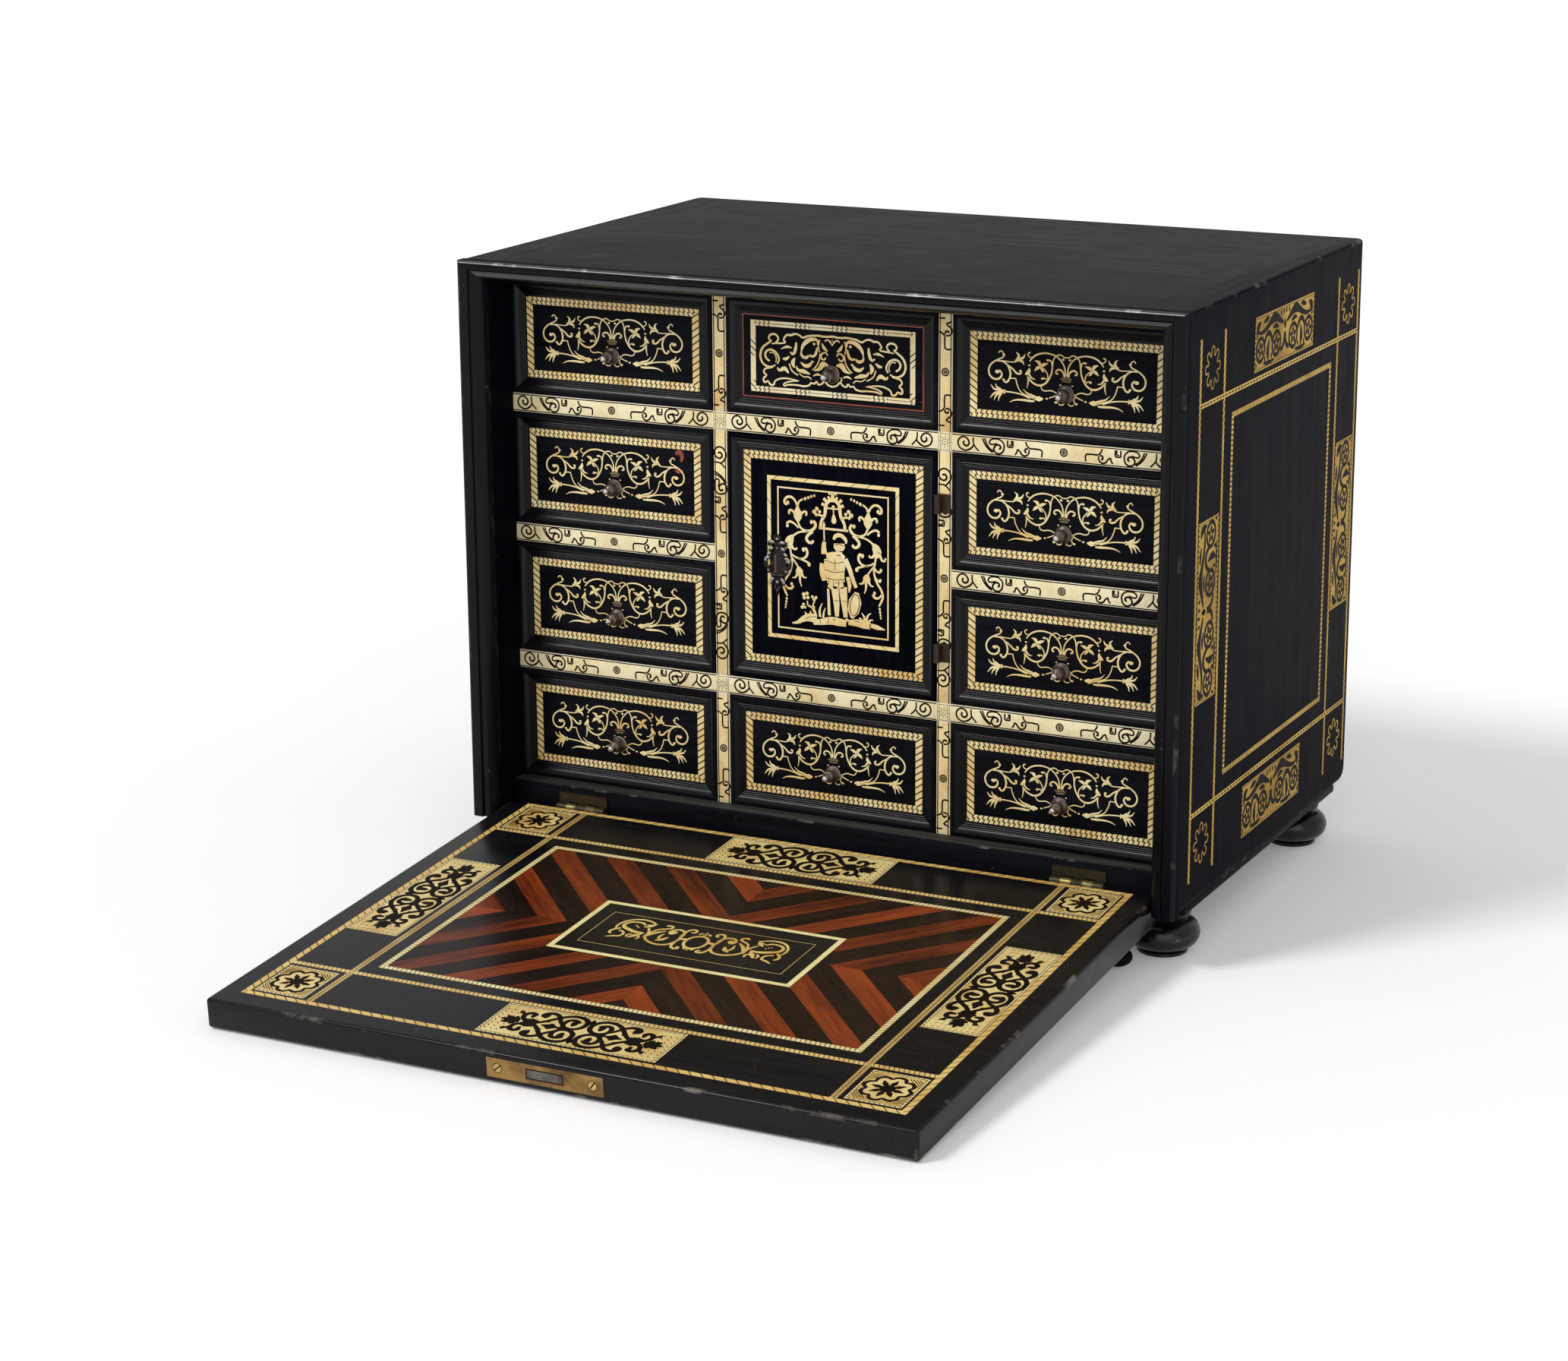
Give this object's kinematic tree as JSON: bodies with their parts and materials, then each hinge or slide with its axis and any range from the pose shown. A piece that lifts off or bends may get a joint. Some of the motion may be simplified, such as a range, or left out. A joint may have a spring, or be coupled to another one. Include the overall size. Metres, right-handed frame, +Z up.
{
  "type": "table cabinet",
  "caption": "Fall-front table cabinet on bun feet: a hinged drop front opens onto small drawers round a cupboard door, ebonised wood with bone inlay.",
  "frame": {"origin": "on the ground, under the middle of the front edge of the case", "axes": "+X to the right along the front, +Y towards the back, +Z up"},
  "size_m": [0.5, 0.663, 0.41],
  "materials": {
    "ebonised_wood": "waxed, dark, worn at the edges",
    "drawer_wood": "plain unpolished",
    "bone": "polished bone, amber with age",
    "brass": "aged",
    "dark_bronze": "dark patinated",
    "iron": "forged, dark"
  },
  "bodies": {
    "case": {"top_panel": "ebonised_wood", "left_side": "ebonised_wood", "right_side": "ebonised_wood", "back_panel": "ebonised_wood", "base_board": "ebonised_wood", "bottom_panel": "ebonised_wood", "opening_moulding": "ebonised_wood", "front_sill": "ebonised_wood", "bun_feet": "ebonised_wood", "left_divider": "drawer_wood", "right_divider": "drawer_wood", "drawer_rails": "drawer_wood", "bone_facings": "bone", "fall_hinge_sill_leaves": "brass", "fall_hinge_pins": "brass", "door_hinge_plates": "iron", "door_hinge_pins": "iron"},
    "fall": {"fall_panel": "ebonised_wood", "fall_lock_plate": "brass", "fall_lock_case": "iron", "fall_lock_screws": "brass", "fall_key_plate": "brass", "fall_rests": "ebonised_wood", "fall_hinge_edge_leaves": "brass"},
    "fall_bolt": {"fall_lock_bolt": "iron"},
    "door": {"door_panel": "ebonised_wood", "door_key_plate": "dark_bronze", "door_lock_case": "iron", "door_hinge_leaves": "iron"},
    "door_bolt": {"door_lock_bolt": "iron"},
    "left_drawer_1": {"left_drawer_1_front": "ebonised_wood", "left_drawer_1_box": "drawer_wood", "left_drawer_1_knob": "dark_bronze"},
    "left_drawer_2": {"left_drawer_2_front": "ebonised_wood", "left_drawer_2_box": "drawer_wood", "left_drawer_2_knob": "dark_bronze"},
    "left_drawer_3": {"left_drawer_3_front": "ebonised_wood", "left_drawer_3_box": "drawer_wood", "left_drawer_3_knob": "dark_bronze"},
    "left_drawer_4": {"left_drawer_4_front": "ebonised_wood", "left_drawer_4_box": "drawer_wood", "left_drawer_4_knob": "dark_bronze"},
    "middle_drawer_1": {"middle_drawer_1_front": "ebonised_wood", "middle_drawer_1_box": "drawer_wood", "middle_drawer_1_knob": "dark_bronze"},
    "middle_drawer_4": {"middle_drawer_4_front": "ebonised_wood", "middle_drawer_4_box": "drawer_wood", "middle_drawer_4_knob": "dark_bronze"},
    "right_drawer_1": {"right_drawer_1_front": "ebonised_wood", "right_drawer_1_box": "drawer_wood", "right_drawer_1_knob": "dark_bronze"},
    "right_drawer_2": {"right_drawer_2_front": "ebonised_wood", "right_drawer_2_box": "drawer_wood", "right_drawer_2_knob": "dark_bronze"},
    "right_drawer_3": {"right_drawer_3_front": "ebonised_wood", "right_drawer_3_box": "drawer_wood", "right_drawer_3_knob": "dark_bronze"},
    "right_drawer_4": {"right_drawer_4_front": "ebonised_wood", "right_drawer_4_box": "drawer_wood", "right_drawer_4_knob": "dark_bronze"}
  },
  "joints": [
    {"name": "fall_hinge", "type": "hinge", "parent": "case", "child": "fall", "pos_m": [0, 0.0216, 0.0436], "axis": [1, 0, 0], "range_deg": [-93.94, 0]},
    {"name": "fall_bolt_slide", "type": "slide", "parent": "fall", "child": "fall_bolt", "axis": [0, -0.9976, -0.0688], "range_m": [0, 0.008]},
    {"name": "door_hinge", "type": "hinge", "parent": "case", "child": "door", "pos_m": [0.0756, 0.0338, 0.2255], "axis": [0, 0, 1], "range_deg": [0, 90]},
    {"name": "door_bolt_slide", "type": "slide", "parent": "door", "child": "door_bolt", "axis": [-1, 0, 0], "range_m": [0, 0.008]},
    {"name": "left_drawer_1_slide", "type": "slide", "parent": "case", "child": "left_drawer_1", "axis": [0, -1, 0], "range_m": [0, 0.18]},
    {"name": "left_drawer_2_slide", "type": "slide", "parent": "case", "child": "left_drawer_2", "axis": [0, -1, 0], "range_m": [0, 0.18]},
    {"name": "left_drawer_3_slide", "type": "slide", "parent": "case", "child": "left_drawer_3", "axis": [0, -1, 0], "range_m": [0, 0.18]},
    {"name": "left_drawer_4_slide", "type": "slide", "parent": "case", "child": "left_drawer_4", "axis": [0, -1, 0], "range_m": [0, 0.18]},
    {"name": "middle_drawer_1_slide", "type": "slide", "parent": "case", "child": "middle_drawer_1", "axis": [0, -1, 0], "range_m": [0, 0.18]},
    {"name": "middle_drawer_4_slide", "type": "slide", "parent": "case", "child": "middle_drawer_4", "axis": [0, -1, 0], "range_m": [0, 0.18]},
    {"name": "right_drawer_1_slide", "type": "slide", "parent": "case", "child": "right_drawer_1", "axis": [0, -1, 0], "range_m": [0, 0.18]},
    {"name": "right_drawer_2_slide", "type": "slide", "parent": "case", "child": "right_drawer_2", "axis": [0, -1, 0], "range_m": [0, 0.18]},
    {"name": "right_drawer_3_slide", "type": "slide", "parent": "case", "child": "right_drawer_3", "axis": [0, -1, 0], "range_m": [0, 0.18]},
    {"name": "right_drawer_4_slide", "type": "slide", "parent": "case", "child": "right_drawer_4", "axis": [0, -1, 0], "range_m": [0, 0.18]}
  ]
}
